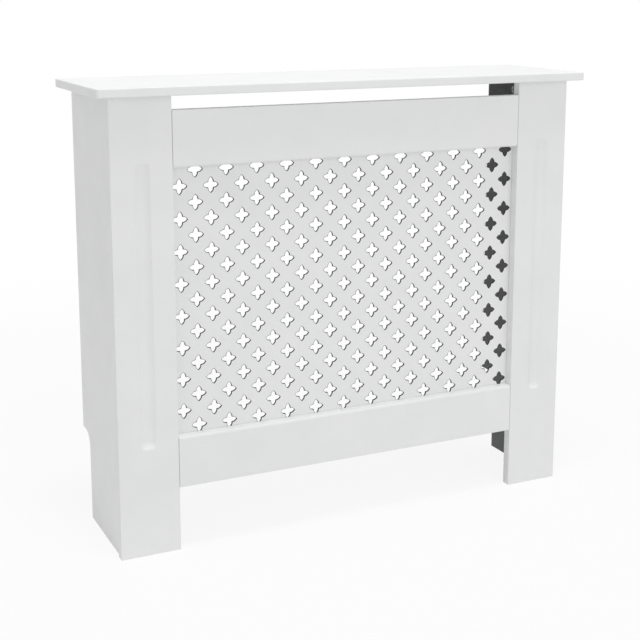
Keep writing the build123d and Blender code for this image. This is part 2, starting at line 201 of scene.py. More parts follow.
class Skin:
    """The points and faces of one piece, gathered part by part."""

    def __init__(self):
        self.points = []
        self.faces = []
        self.finishes = []
        self.count = 0

    def add(self, points, faces, finish=PAINTED):
        """Adds points and the faces between them, as rows of places in these points."""
        points = np.asarray(points, float).reshape(-1, 3)
        rows = [(np.asarray(face) + self.count).tolist() for face in faces]
        self.points.append(points)
        self.faces += rows
        self.finishes += [finish] * len(rows)
        self.count += len(points)

    def grid(self, points, finish=PAINTED, closed=True):
        """Adds a grid of points, row by row, and the four-sided faces between them. A closed
        grid joins its last column to its first."""
        rows, columns = points.shape[:2]
        across = columns if closed else columns - 1
        row, column = np.meshgrid(np.arange(rows - 1), np.arange(across), indexing="ij")
        near, far = row * columns, (row + 1) * columns
        after = (column + 1) % columns
        corners = np.stack((near + column, far + column, far + after, near + after), -1)
        self.add(points, corners.reshape(-1, 4), finish)

    def laid(self, axes):
        """The same skin with its u, v and w laid along three axes."""
        self.points = [points @ axes for points in self.points]
        return self

    def mirrored(self):
        """The skin's mirror image across the middle of the cabinet."""
        other = Skin()
        other.points = [points * (-1, 1, 1) for points in self.points]
        other.faces, other.finishes, other.count = self.faces, self.finishes, self.count
        return other

    def prime(self, is_inner):
        """Gives the dark painted shade to the faces whose points all meet a test of their x, y and z.
        """
        inner = is_inner(*np.concatenate(self.points).T)
        self.finishes = [
            SHADED_INSIDE if inner[face].all() else finish
            for face, finish in zip(self.faces, self.finishes)
        ]


def in_scene(name, data):
    """A new object in the scene."""
    made = bpy.data.objects.new(name, data)
    bpy.context.scene.collection.objects.link(made)
    return made


def make_piece(name, skin, finishes, node, body=CABINET):
    """Turns a skin into the piece that stands for a CAD node, and lets it ride on its body."""
    mesh = bpy.data.meshes.new(name)
    mesh.from_pydata(np.concatenate(skin.points).tolist(), [], skin.faces)
    mesh.polygons.foreach_set("material_index", np.array(skin.finishes, np.int32))
    build = bmesh.new()
    build.from_mesh(mesh)
    bmesh.ops.remove_doubles(build, verts=build.verts, dist=WELD)
    bmesh.ops.recalc_face_normals(build, faces=build.faces)
    build.to_mesh(mesh)
    build.free()
    mesh.shade_smooth()
    mesh.set_sharp_from_angle(angle=SHARP)
    for finish in finishes:
        mesh.materials.append(finish)
    piece = in_scene(name, mesh)
    shading = piece.modifiers.new("Even shading", "WEIGHTED_NORMAL")
    shading.weight = 100
    shading.keep_sharp = True
    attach(piece, body)
    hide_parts(node)


def rectangle(low, high):
    """A rectangle's corners, anticlockwise from its lowest one."""
    return np.array([low, (high[0], low[1]), high, (low[0], high[1])], float)


def rounded_outline(corners, radii):
    """A closed outline, anticlockwise, with arcs at its corners. Each arc's centre lies a
    radius to the inside of the turn from both sides, and its points lie a radius from that
    centre. Returns the points and, at each, the direction out of the panel."""
    corners = np.asarray(corners, float)
    radii = np.asarray(radii, float)[:, None]
    arriving = corners - np.roll(corners, 1, axis=0)
    arriving /= np.linalg.norm(arriving, axis=1, keepdims=True)
    leaving = np.roll(arriving, -1, axis=0)
    crossed = arriving[:, :1] * leaving[:, 1:] - arriving[:, 1:] * leaving[:, :1]
    turn = np.sign(crossed)
    angle = np.arccos(np.clip((arriving * leaving).sum(1, keepdims=True), -1, 1))
    left = np.stack((-arriving[:, 1], arriving[:, 0]), 1)
    centres = corners - arriving * radii * np.tan(angle / 2) + left * turn * radii
    start = np.arctan2(-left[:, 1:] * turn, -left[:, :1] * turn)
    directions = start + np.linspace(0, 1, CORNER_STEPS + 1) * turn * angle
    spokes = np.stack((np.cos(directions), np.sin(directions)), -1)
    points = centres[:, None] + radii[:, None] * spokes
    outward = spokes * turn[:, None]
    return points.reshape(-1, 2), outward.reshape(-1, 2)


def without_repeats(loop):
    """A closed loop's points, each one that is the same as the next left out."""
    return loop[np.linalg.norm(loop - np.roll(loop, -1, axis=0), axis=1) > WELD]


def filled(loops):
    """Triangles between an outer loop and the loops of its holes."""
    raised = [np.pad(loop, ((0, 0), (0, 1))).tolist() for loop in loops]
    return np.array(tessellate_polygon(raised))


def even_turns(steps):
    """Angles evenly spread over one turn."""
    return np.arange(steps) * 2 * np.pi / steps


def circle(centre, radius, steps):
    """Points round a circle."""
    angle = even_turns(steps)
    return np.asarray(centre) + radius * np.stack((np.cos(angle), np.sin(angle)), -1)


def at_level(points, level):
    """Flat points raised to a level of w."""
    return np.concatenate((points, np.full(points.shape[:-1] + (1,), level)), -1)


def wall(loop, levels):
    """A wall's points, row by row: a loop, or a loop for each level, at some levels of w."""
    loops = np.broadcast_to(loop, (len(levels), *loop.shape[-2:]))
    return at_level(loops, np.reshape(levels, (-1, 1, 1)))


def slab(corners, radii, low, high, ease, bores=(), bore_depth=0.0):
    """A flat panel. Its outline is carried from its low face to its high face, and at both it
    is drawn in along a quarter circle: by ease times one minus the sine of the turn, at a rise
    of ease times one minus its cosine. Bores are loops sunk straight into the high face."""
    outline, outward = rounded_outline(corners, radii)
    turn = np.linspace(0, np.pi / 2, EASE_STEPS + 1)
    inset = ease * (1 - np.sin(turn))
    rise = ease * (1 - np.cos(turn))
    insets = np.concatenate((inset, inset[::-1]))
    levels = np.concatenate((low + rise, high - rise[::-1]))
    rings = outline - insets[:, None, None] * outward
    around = [np.arange(len(outline))]
    skin = Skin()
    skin.grid(wall(rings, levels))
    skin.add(at_level(rings[0], low), around)
    if not bores:
        skin.add(at_level(rings[-1], high), around)
        return skin
    loops = [rings[-1], *bores]
    skin.add(at_level(np.concatenate(loops), high), filled(loops))
    for bore in bores:
        walls = wall(bore, (high, high - bore_depth))
        skin.grid(walls)
        skin.add(walls[1], [np.arange(len(bore))])
    return skin


def graded(low, high, radius, inner=()):
    """Grid lines between two edges. Beside each edge they stand a radius times one minus the
    tangent of even angles from it, so that they are evenly spread once it is rounded."""
    angles = np.linspace(np.pi / 4, 0, GRADE_STEPS + 1)
    edge = radius * (1 - np.tan(angles))
    return np.concatenate((low + edge, np.sort(inner), high - edge[::-1]))


def rounded_block(lines, radius, relief):
    """A block with rounded edges. Each point of its gridded skin is drawn in towards the
    nearest point of the block's core until it is a radius away from it. The relief lowers the
    face at the high end of w by a depth worked out from u and v."""
    low = np.array([line[0] for line in lines])
    high = np.array([line[-1] for line in lines])
    skin = Skin()
    for across in range(3):
        first, second = (across + 1) % 3, (across + 2) % 3
        a, b = np.meshgrid(lines[first], lines[second], indexing="ij")
        for level in (low[across], high[across]):
            points = np.empty(a.shape + (3,))
            points[..., first], points[..., second], points[..., across] = a, b, level
            core = np.clip(points, low + radius, high - radius)
            spoke = points - core
            points = core + radius * spoke / np.linalg.norm(spoke, axis=-1, keepdims=True)
            if across == 2 and level == high[across]:
                points[..., 2] -= relief(points[..., 0], points[..., 1])
            skin.grid(points, closed=False)
    return skin


def turned(along, radius, relief=None):
    """A turned shape's points, from a radius for each distance along the axis and each angle
    round it. The relief moves them along the axis by a depth worked out from their place."""
    angle = even_turns(radius.shape[1])
    x, y = radius * np.cos(angle), radius * np.sin(angle)
    z = np.repeat(along[:, None], len(angle), 1)
    if relief:
        z = z + relief(x, y, z)
    return np.stack((x, y, z), -1)


def laid_in(box, axis, sense, points, twist=1):
    """A turned shape's points, laid in a box with their third axis along one of the box's
    axes, from the end where it starts. Their first axis is the box's axis that comes a twist
    of places after that one."""
    low, high = box
    direction = np.eye(3)[axis] * sense
    across = np.eye(3)[(axis + twist) % 3]
    start = (low + high) / 2 - direction * (high - low)[axis] / 2
    return points @ np.stack((across, np.cross(direction, across), direction)) + start


def clusters(node, axis, gap=30 * MM):
    """The boxes of a node's separate solids, which stand in a row along an axis with more
    than a gap between them."""
    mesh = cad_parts[node].data
    flat = np.empty(len(mesh.vertices) * 3, np.float32)
    mesh.vertices.foreach_get("co", flat)
    points = flat.reshape(-1, 3).astype(float)
    points = points[np.argsort(points[:, axis])]
    breaks = np.flatnonzero(np.diff(points[:, axis]) > gap) + 1
    return [(part.min(0), part.max(0)) for part in np.split(points, breaks)]


def node_box(node):
    """A CAD node's lowest and highest corners."""
    low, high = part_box(node)
    return np.array(low), np.array(high)


def smooth(value, edge, softness):
    """0 below an edge and 1 above it, with an even S-shaped change between."""
    share_past = np.clip((value - edge) / softness + 0.5, 0, 1)
    return share_past**2 * (3 - 2 * share_past)


# ---- Finishes ----


class Nodes:
    """The shader nodes of a material or a world, built up from nothing."""

    def __init__(self, owner):
        owner.use_nodes = True
        self.tree = owner.node_tree
        self.tree.nodes.clear()

    def add(self, kind, inputs=None, **settings):
        """A new node. An input is a value for its socket, or the output that is joined to it."""
        node = self.tree.nodes.new(kind)
        for name, value in settings.items():
            setattr(node, name, value)
        for socket, value in (inputs or {}).items():
            self.feed(node, socket, value)
        return node

    def feed(self, node, socket, value):
        """Sets an input of a node, or joins an output to it."""
        if isinstance(value, NodeSocket):
            self.tree.links.new(value, node.inputs[socket])
        else:
            node.inputs[socket].default_value = value

    def math(self, operation, first, second):
        """A sum, product or other working of two values."""
        node = self.add("ShaderNodeMath", {0: first, 1: second}, operation=operation)
        return node.outputs["Value"]

    def ranged(self, value, low, high, start=0.3, end=0.7, change="LINEAR"):
        """A value between low and high, as another goes from start to end."""
        limits = {"From Min": start, "From Max": end, "To Min": low, "To Max": high}
        inputs = {"Value": value, **limits}
        node = self.add("ShaderNodeMapRange", inputs, interpolation_type=change)
        return node.outputs["Result"]


class Finish(Nodes):
    """A material under construction: one shader, and patterns on the object's coordinates."""

    def __init__(self, name, roughness, metallic=0.0, stretch=(1, 1, 1)):
        self.material = bpy.data.materials.new(name)
        super().__init__(self.material)
        look = {"Metallic": metallic, "Roughness": roughness}
        self.shader = self.add("ShaderNodeBsdfPrincipled", look)
        self.add("ShaderNodeOutputMaterial", {"Surface": self.shader.outputs["BSDF"]})
        coordinates = self.add("ShaderNodeTexCoord").outputs["Object"]
        stretched = self.add("ShaderNodeMapping", {"Vector": coordinates, "Scale": stretch})
        self.place = stretched.outputs["Vector"]
        self.normal = None

    def noise(self, size, detail=2.0, roughness=0.5):
        """Soft random clouds of about a size."""
        grain = {"Scale": 1 / size, "Detail": detail, "Roughness": roughness}
        return self.add("ShaderNodeTexNoise", {"Vector": self.place, **grain}).outputs["Fac"]

    def clouds(self, size, detail):
        """Clouds of about a size, with their contrast drawn out from nothing to all."""
        return self.ranged(self.noise(size, detail), 0, 1)

    def tint(self, value, first, second):
        """Colours the surface by a value, from a colour or the tint so far to a colour."""
        first = first if isinstance(first, NodeSocket) else (*first, 1)
        colours = {"Factor": value, "A": first, "B": (*second, 1)}
        blend = self.add("ShaderNodeMix", colours, data_type="RGBA").outputs["Result"]
        self.feed(self.shader, "Base Color", blend)
        return blend

    def gloss(self, value, low, high):
        """Varies the roughness by a value."""
        self.feed(self.shader, "Roughness", self.ranged(value, low, high))

    def relief(self, value, height):
        """Raises the surface by a value, up to a height, on top of the reliefs before it."""
        bump = self.add("ShaderNodeBump", {"Distance": height, "Height": value})
        if self.normal:
            self.feed(bump, "Normal", self.normal)
        self.normal = bump.outputs["Normal"]
        self.feed(self.shader, "Normal", self.normal)


def satin_paint(colours):
    """Sprayed satin paint: a fine orange peel, faint clouds of thickness, and slow waves in
    the gloss."""
    paint = Finish("satin_paint", 0.45)
    paint.tint(paint.clouds(90 * MM, 3.0), colours.paint_shade, colours.paint)
    paint.gloss(paint.noise(35 * MM, 3.0), 0.40, 0.52)
    paint.relief(paint.noise(14 * MM), 0.03 * MM)
    paint.relief(paint.noise(1.3 * MM, 3.0), 0.022 * MM)
    return paint.material


def dark_primer(colours):
    """Painted shade for the inner faces: a dark matt finish that stands for the shade inside the
    cabinet, lighter towards the floor as painted light bounced from it, with faint random clouds and
    a fine nap of fibres."""
    primer = Finish("dark_primer", 0.7)
    height = primer.add("ShaderNodeSeparateXYZ", {"Vector": primer.place}).outputs["Z"]
    # painted light: the finish grows lighter towards the floor, standing for light bounced from it
    floor_bounce = primer.ranged(height, 0, 0.8, 0.78, 0.02)
    clouds = primer.ranged(primer.noise(45 * MM, 5.0, 0.6), 0, 0.2)
    primer.tint(primer.math("ADD", floor_bounce, clouds), colours.primer, colours.primer_light)
    primer.gloss(primer.noise(8 * MM, 3.0), 0.62, 0.82)
    primer.relief(primer.noise(0.7 * MM, 4.0, 0.7), 0.05 * MM)
    return primer.material


def sealed_cut(colours):
    """The dark walls of the grille's holes and edges, and the dark ring round each hole: the cut
    board's own darker tone, deepened as painted shade, with the marks of the press in them.
    """
    cut = Finish("sealed_cut", 0.75, stretch=(1, 6, 1))
    cut.tint(cut.clouds(2.5 * MM, 4.0), colours.cut_edge, colours.primer)
    cut.relief(cut.noise(0.9 * MM, 3.0), 0.06 * MM)
    return cut.material


def cast_zinc(colours):
    """Die-cast zinc, its colour darkened as painted shade for the cams' place inside the cabinet: a
    fine grain, dulled in clouds.
    """
    zinc = Finish("cast_zinc", 0.42, metallic=1.0)
    shade = [0.72 * part for part in colours.zinc]
    zinc.tint(zinc.clouds(3.5 * MM, 4.0), shade, colours.zinc)
    zinc.gloss(zinc.noise(1.8 * MM, 3.0), 0.34, 0.52)
    zinc.relief(zinc.noise(0.28 * MM, 3.0), 0.018 * MM)
    return zinc.material


def plated_steel(colours, name, roughness):
    """Zinc-plated steel: cloudy plating with faint drawing lines."""
    steel = Finish(name, roughness, metallic=1.0, stretch=(0.15, 1, 1))
    shade = [0.82 * part for part in colours.steel]
    steel.tint(steel.clouds(1.6 * MM, 4.0), shade, colours.steel)
    steel.gloss(steel.noise(0.9 * MM, 3.0), roughness - 0.06, roughness + 0.1)
    steel.relief(steel.noise(0.22 * MM, 2.0), 0.008 * MM)
    return steel.material


def beech_wood(colours, name, axis):
    """Bare beech: growth bands drawn out along the grain, and short dark pores."""
    stretch = [1.0, 1.0, 1.0]
    stretch[axis] = 0.06
    wood = Finish(name, 0.62, stretch=stretch)
    bands = wood.ranged(wood.noise(2.2 * MM, 4.0, 0.6), 0, 1, 0.35, 0.65)
    pores = wood.ranged(wood.noise(0.35 * MM, 2.0), 0, 0.55, 0.58, 0.75)
    grain = wood.tint(bands, colours.beech_dark, colours.beech)
    wood.tint(pores, grain, colours.beech_dark)
    wood.relief(wood.noise(0.4 * MM, 3.0), 0.04 * MM)
    return wood.material


def shared(make, *values):
    """A finish that is made once, and shared by all the pieces in it. It is named in the first
    of its values, or after the function that makes it."""
    name = values[0] if values else make.__name__
    found = bpy.data.materials.get(name)
    return found or make(bpy.context.scene.cabinet_colours, *values)


def panel_finishes():
    """The paint and the dark painted shade of a panel's inner faces, in the order of the finish
    numbers for paint and for painted shade.
    """
    return [shared(satin_paint), shared(dark_primer)]


# ---- Pieces ----


def make_painted(node, skin):
    """Makes a panel in paint, with painted shade on its inner faces."""
    make_piece(f"{node}_painted", skin, panel_finishes(), node)


def make_painted_pair(part, skin):
    """Makes the left panel from its skin, and the right one from the skin's mirror image."""
    for side, made in zip(SIDES, (skin, skin.mirrored())):
        make_painted(f"{side}_{part}", made)


class CABINET_OT_top_board(Operator):
    """Make the overhanging top board with its rounded front corners"""

    bl_idname = "cabinet.top_board"
    bl_label = "Top Board"

    def execute(self, context):
        sizes = context.scene.cabinet_panels
        low, high = node_box("top_board")
        front = sizes.board_corner
        back = sizes.board_edge * 1.05  # just more than the edge that is drawn in
        corners = rectangle(low[:2], high[:2])
        skin = slab(corners, [front, front, back, back], low[2], high[2], sizes.board_edge)
        make_painted("top_board", skin)
        return {"FINISHED"}


class CABINET_OT_side_panels(Operator):
    """Make the two side panels with their skirting notches and cam bores"""

    bl_idname = "cabinet.side_panels"
    bl_label = "Side Panels"

    def execute(self, context):
        sizes = context.scene.cabinet_panels
        fittings = context.scene.cabinet_fittings
        low, high = node_box("left_side_panel")
        notch = high[1] - sizes.notch_depth, low[2] + sizes.notch_height
        corners = rectangle(low[1:], high[1:]).tolist()
        corners[1:2] = [(notch[0], low[2]), notch, (high[1], notch[1])]
        radii = [sizes.panel_corner] * len(corners)
        radii[2] = sizes.notch_radius
        bores = []
        for place in ("front", "rear"):
            middle = sum(node_box(f"left_{place}_cam")) / 2
            bores.append(circle(middle[1:], fittings.bore_radius, BORE_STEPS))
        depth = fittings.bore_depth
        skin = slab(corners, radii, low[0], high[0], sizes.panel_edge, bores, depth)
        skin = skin.laid(ON_EDGE_YZ)
        inner = high[0] - sizes.panel_edge / 2
        # painted shade on the panel's inner face and in its bores
        skin.prime(lambda x, y, z: (x > inner) | np.isclose(x, high[0] - depth))
        make_painted_pair("side_panel", skin)
        return {"FINISHED"}


FLUTE_HEM = 0.35 * MM  # flat strip beside a flute, up to the next grid line
FLUTE_STEPS, END_STEPS, STRAIGHT_STEPS = 24, 16, 13  # faces across it, along each end, between


def flute_depth(flute, middle, foot, head):
    """The depth of a round-bottomed flute at places on the pilaster's face. Its share s of the
    way from the middle to its outline is the p-norm of the shares across and, past the
    straight stretch, along it; its depth is that of a circle's arc at s times half its width."""
    half = flute.width / 2
    arc_radius = (half**2 + flute.depth**2) / (2 * flute.depth)
    power = flute.squareness

    def depth(x, z):
        across = np.abs(x - middle) / half
        past_end = np.maximum(np.maximum(foot + half - z, z - head + half), 0) / half
        s = np.minimum((across**power + past_end**power) ** (1 / power), 1)
        return np.sqrt(arc_radius**2 - (s * half) ** 2) - (arc_radius - flute.depth)

    return depth


class CABINET_OT_pilasters(Operator):
    """Make the two pilasters, each with a round-bottomed flute"""

    bl_idname = "cabinet.pilasters"
    bl_label = "Pilasters"

    def execute(self, context):
        edge = context.scene.cabinet_panels.frame_edge
        flute = context.scene.cabinet_flute
        low, high = node_box("left_pilaster")
        middle = (low[0] + high[0]) / 2
        foot, head = low[2] + flute.foot, high[2] - flute.head
        lip = node_box("left_side_panel")[0][0]
        lines = (
            graded(low[0], high[0], edge, self.lines_across(flute, middle, lip)),
            graded(low[2], high[2], edge, self.lines_along(flute, foot, head)),
            graded(-high[1], -low[1], edge),
        )
        skin = rounded_block(lines, edge, flute_depth(flute, middle, foot, head))
        skin = skin.laid(UPRIGHT_XZ)
        back = high[1] - edge / 2
        # painted shade on the pilaster's back, except the lip past the side panel
        skin.prime(lambda x, y, z: (y > back) & (x > lip - WELD))
        make_painted_pair("pilaster", skin)
        return {"FINISHED"}

    def lines_across(self, flute, middle, lip):
        """Grid lines at half the flute's width times the sine of even angles from its middle,
        at its hems, and where the painted lip past the side panel starts."""
        half = flute.width / 2
        swing = np.sin(np.linspace(-np.pi / 2, np.pi / 2, FLUTE_STEPS + 1))
        rims = (lip, middle - half - FLUTE_HEM, middle + half + FLUTE_HEM)
        return np.concatenate((middle + half * swing, rims))

    def lines_along(self, flute, foot, head):
        """Grid lines that crowd towards the flute's ends by one minus the cosine of even
        angles, stand evenly between its round ends, and mark its hems."""
        half = flute.width / 2
        end = half * (1 - np.cos(np.linspace(0, np.pi / 2, END_STEPS + 1)))
        straight = np.linspace(foot + half, head - half, STRAIGHT_STEPS + 1)[1:-1]
        hems = (foot - FLUTE_HEM, head + FLUTE_HEM)
        return np.concatenate((foot + end, head - end, straight, hems))


class CABINET_OT_rails(Operator):
    """Make the two rails, each rounded over along the grille"""

    bl_idname = "cabinet.rails"
    bl_label = "Rails"

    def execute(self, context):
        sizes = context.scene.cabinet_panels
        for node, grille_corner in (("top_rail", 0), ("bottom_rail", 3)):
            low, high = node_box(node)
            radii = [sizes.frame_edge] * 4
            radii[grille_corner] = sizes.window_edge
            ends = low[0] + sizes.rail_gap, high[0] - sizes.rail_gap
            ease = sizes.frame_edge * 0.95  # just less than the outline's own radius
            skin = slab(rectangle(low[1:], high[1:]), radii, *ends, ease).laid(ON_EDGE_YZ)
            back = high[1] - sizes.frame_edge / 2
            # painted shade on the rail's back
            skin.prime(lambda x, y, z: y > back)
            make_painted(node, skin)
        return {"FINISHED"}


def foil_outline(sizes, grow, power=1.5):
    """The outline of a four-lobed hole, grown by a length. A corner between two lobes lies on
    the diagonal. From its belly to its tip a lobe is a superellipse, with the cosine and the
    sine raised to a power, which draws it to a soft point."""
    turn = np.radians([-90, -50, -22, 0, 22, 50, 90])
    waist = sizes.waist + grow
    cosine, sine = np.cos(turn), np.sin(turn)
    x = sizes.belly + (sizes.reach + grow - sizes.belly) * cosine**power
    y = (sizes.belly_width + grow) * np.sign(sine) * np.abs(sine) ** power
    x, y = np.append(waist, x), np.append(-waist, y)
    quarter = np.arange(4)[:, None] * np.pi / 2
    turned_x = x * np.cos(quarter) - y * np.sin(quarter)
    turned_y = x * np.sin(quarter) + y * np.cos(quarter)
    return np.stack((turned_x, turned_y), -1).reshape(-1, 2)


class CABINET_OT_grille(Operator):
    """Make the grille, pierced with staggered four-lobed holes"""

    bl_idname = "cabinet.grille"
    bl_label = "Grille"

    def execute(self, context):
        sizes = context.scene.cabinet_grille
        low, high = node_box("grille_panel")
        front, back = -low[1], -high[1]
        window = node_box("bottom_rail")[1][2], node_box("top_rail")[0][2]
        middle = (0, sum(window) / 2 + sizes.rise)
        shape = (sizes.columns, sizes.rows)
        column, row = np.indices(shape)
        pierced = (column + row + sizes.rows // 2) % 2 == 1
        nodes = np.stack((column, row), -1) - (np.array(shape) - 1) / 2
        nodes = nodes * sizes.step + middle
        skin = Skin()
        # soft is the hole's outline grown by the width of a dark ring, painted shade that stands for
        # the shade on each hole's edge
        hole, soft = foil_outline(sizes, 0), foil_outline(sizes, sizes.dark_edge)
        edge = front - sizes.dark_edge / 4
        # the plate's front is painted and its back takes the dark painted shade
        for outline, level, finish in ((soft, front, PAINTED), (hole, back, SHADED_INSIDE)):
            self.add_cells(skin, nodes[pierced], sizes.step, outline, level, finish)
        # the dark ring and the hole walls take the dark cut finish: painted shade on the ring, and
        # the cut board's own tone deepened with painted shade on the walls
        for levels, loops in (((front, edge), (soft, hole)), ((edge, back), (hole, hole))):
            ring = wall(np.stack(loops), levels)
            for centre in at_level(nodes[pierced], 0):
                skin.grid(centre + ring, CUT_WALLS_SHADED)
        self.add_border(skin, low[[0, 2]], high[[0, 2]], nodes, pierced, front, back)
        finishes = [*panel_finishes(), shared(sealed_cut)]
        skin = skin.laid(UPRIGHT_XZ)
        make_piece("grille_pierced", skin, finishes, "grille_panel")
        return {"FINISHED"}

    def add_cells(self, skin, centres, step, outline, level, finish):
        """The plate round each hole, out to a diamond that meets its neighbours' diamonds. It
        is four faces, each between the tips of two lobes and the diamond's side."""
        diamond = step * np.array([(1, 0), (0, 1), (-1, 0), (0, -1)])
        quarter = len(outline) // 4
        tip = quarter // 2
        arc = (tip + np.arange(quarter + 1)) % len(outline)
        for side in range(4):
            inner = outline[(arc + side * quarter) % len(outline)]
            face = np.concatenate((inner, diamond[[(side + 1) % 4, side]]))
            cells = np.arange(len(centres) * len(face)).reshape(len(centres), -1)
            skin.add(at_level(centres[:, None] + face, level), cells, finish)

    def add_border(self, skin, low, high, nodes, pierced, front, back):
        """The plate between the outermost diamonds and the panel's edges, and its edge walls.
        A diamond's corner lies one step out from a pierced node, or on a plain one."""
        reach = (nodes[1, 0, 0] - nodes[0, 0, 0]) * pierced[..., None]
        sides = (
            (nodes - reach * (0, 1))[:, 0],
            (nodes + reach * (1, 0))[-1, :],
            (nodes + reach * (0, 1))[::-1, -1],
            (nodes - reach * (1, 0))[0, ::-1],
        )
        sheet = rectangle(low, high)
        loops = [sheet, without_repeats(np.concatenate(sides))]
        faces = filled(loops)
        skin.add(at_level(np.concatenate(loops), front), faces)
        # the border's back takes the painted shade, and its edge walls the dark cut finish
        skin.add(at_level(np.concatenate(loops), back), faces, SHADED_INSIDE)
        skin.grid(wall(sheet, (front, back)), CUT_WALLS_SHADED)


def cross_recess(cross_length, cross_width, depth, softness):
    """The depth of a cross-shaped recess at places across a head: full where the smaller of
    the two distances from its centre lines is inside an arm and the larger is within its
    reach."""

    def recess(x, y):
        near = np.minimum(np.abs(x), np.abs(y))
        far = np.maximum(np.abs(x), np.abs(y))
        inside = 1 - smooth(near, cross_width / 2, softness)
        return depth * inside * (1 - smooth(far, cross_length / 2, softness))

    return recess


class CABINET_OT_cams(Operator):
    """Make the four cast cams in the side panels"""

    bl_idname = "cabinet.cams"
    bl_label = "Cams"

    def execute(self, context):
        sizes = context.scene.cabinet_fittings
        for side, sense in zip(SIDES, (-1, 1)):
            for place in ("front", "rear"):
                node = f"{side}_{place}_cam"
                low, high = node_box(node)
                points = self.drum(sizes, (high - low)[2] / 2, (high - low)[0])
                skin = Skin()
                skin.grid(laid_in((low, high), X, sense, points, twist=2))
                make_piece(f"{node}_cast", skin, [shared(cast_zinc)], node, body=node)
        return {"FINISHED"}

    def drum(self, sizes, radius, depth):
        """A drum along its axis from the face that shows. The face is dished inside its rim,
        with a cross recess and a pointer, and the wall falls in to the axis over the part of a
        turn in which the bolt's head passes."""
        fillet, softness = 0.4 * MM, 0.3 * MM
        bolt, mouth = 7.5 * MM, 3.9 * MM  # the opening's middle, below the face, and half its width
        margin = 0.5 * MM  # fine rings run this far past the opening
        core = 0.75 * MM  # radius of the web that the opening leaves
        half_turn, slope = np.radians((128, 6))  # half of the opening's turn, and its ends
        face_rings, corner_rings, wall_rings = 20, 4, 34
        rim = radius - sizes.cam_rim
        face = np.concatenate((np.linspace(0, rim, face_rings), rim + np.array([0.5, 1]) * softness))
        bend = np.linspace(0, np.pi / 2, corner_rings)
        corner_r = radius - fillet * (1 - np.sin(bend))
        corner_s = fillet * (1 - np.cos(bend))
        wall_s = np.linspace(bolt - mouth - margin, bolt + mouth + margin, wall_rings)
        wall_r = np.full(len(wall_s), radius)
        levels = (np.zeros(len(face)), corner_s, wall_s, depth - corner_s[::-1], [depth])
        along = np.concatenate(levels)
        radii = np.concatenate((face, corner_r, wall_r, corner_r[::-1], [0]))
        away = np.abs((even_turns(CAM_STEPS) + np.pi / 2) % (2 * np.pi) - np.pi)
        open_turn = 1 - smooth(away, half_turn, slope)
        open_level = 1 - smooth(np.abs(along - bolt), mouth, fillet)
        sunk = (radius - core) * open_level[:, None] * open_turn
        recess = cross_recess(sizes.cross_length, sizes.cross_width, sizes.cross_depth, softness)
        tip, size, height = rim - 1.2 * MM, 0.9 * MM, 0.3 * MM  # of the pointer

        def relief(x, y, z):
            off_axis = np.hypot(x, y)
            dish = sizes.cam_dish * (1 - smooth(off_axis, rim, softness))
            pointer = smooth(size - np.abs(y) - np.abs(x - tip), 0, fillet)
            raised = height * pointer * (off_axis < rim)
            return np.where(z < WELD, np.maximum(dish, recess(x, y)) - raised, 0)

        return turned(along, radii[:, None] - sunk, relief)


def threaded(along, core, crest, pitch, steps, start, end):
    """The radius of a thread for each distance and angle: the core, plus a sharp ridge whose
    place moves on by one pitch in a turn. The ridge dies away towards both ends."""
    steepness = 3.2  # in crest heights over a pitch
    phase = (along[:, None] / pitch - np.arange(steps) / steps) % 1
    ridge = np.maximum(1 - np.abs(phase - 0.5) * steepness, 0)
    fade = np.clip(np.minimum(along - start, end - along) / pitch, 0, 1)
    return core[:, None] + (crest - core)[:, None] * ridge * fade[:, None]


class CABINET_OT_cam_bolts(Operator):
    """Make the bolts that the cams grip, with the threads that hold them in the board"""

    bl_idname = "cabinet.cam_bolts"
    bl_label = "Cam Bolts"

    def execute(self, context):
        sizes = context.scene.cabinet_fittings
        board_low = node_box("top_board")[0][2]
        for side in SIDES:
            node = f"{side}_cam_bolts"
            skin = Skin()
            for low, high in clusters(node, Y):
                whole, into = high[2] - low[2], board_low - low[2]
                points = self.bolt(sizes, (high[0] - low[0]) / 2, whole, into)
                skin.grid(laid_in((low, high), Z, 1, points))
            steel = shared(plated_steel, "bright_steel", 0.28)
            make_piece(f"{node}_turned", skin, [steel], node)
        return {"FINISHED"}

    def bolt(self, sizes, head_radius, whole, into):
        """A round head, a neck, a shank with a collar at the board, and a thread."""
        neck, shank, collar, root, crest, tip = MM * np.array([1.6, 2.1, 2.9, 1.7, 2.35, 0.9])
        head, bevel, thread_rings = 2.4 * MM, 0.3 * MM, 64
        under_board = (
            (0, 0),
            (0, head_radius - 0.4 * MM),
            (bevel, head_radius),
            (head - bevel, head_radius),
            (head, head_radius - bevel),
            (head + 0.2 * MM, neck),
            (7.5 * MM, neck),
            (8.5 * MM, shank),
            (into - 2.0 * MM, shank),
            (into - 1.6 * MM, collar),
            (into - 0.2 * MM, collar),
            (into, root),
        )
        fine = np.linspace(into + 0.1 * MM, whole - 1.3 * MM, thread_rings)
        thread = np.stack((fine, np.full(thread_rings, root)), 1)
        point = ((whole - 1.2 * MM, root), (whole, tip), (whole, 0))
        along, core = np.array([*under_board, *thread, *point]).T
        ridge, end = np.maximum(core, crest), whole - 1.0 * MM
        swept = threaded(along, core, ridge, sizes.thread_pitch, BOLT_STEPS, into, end)
        return turned(along, swept)


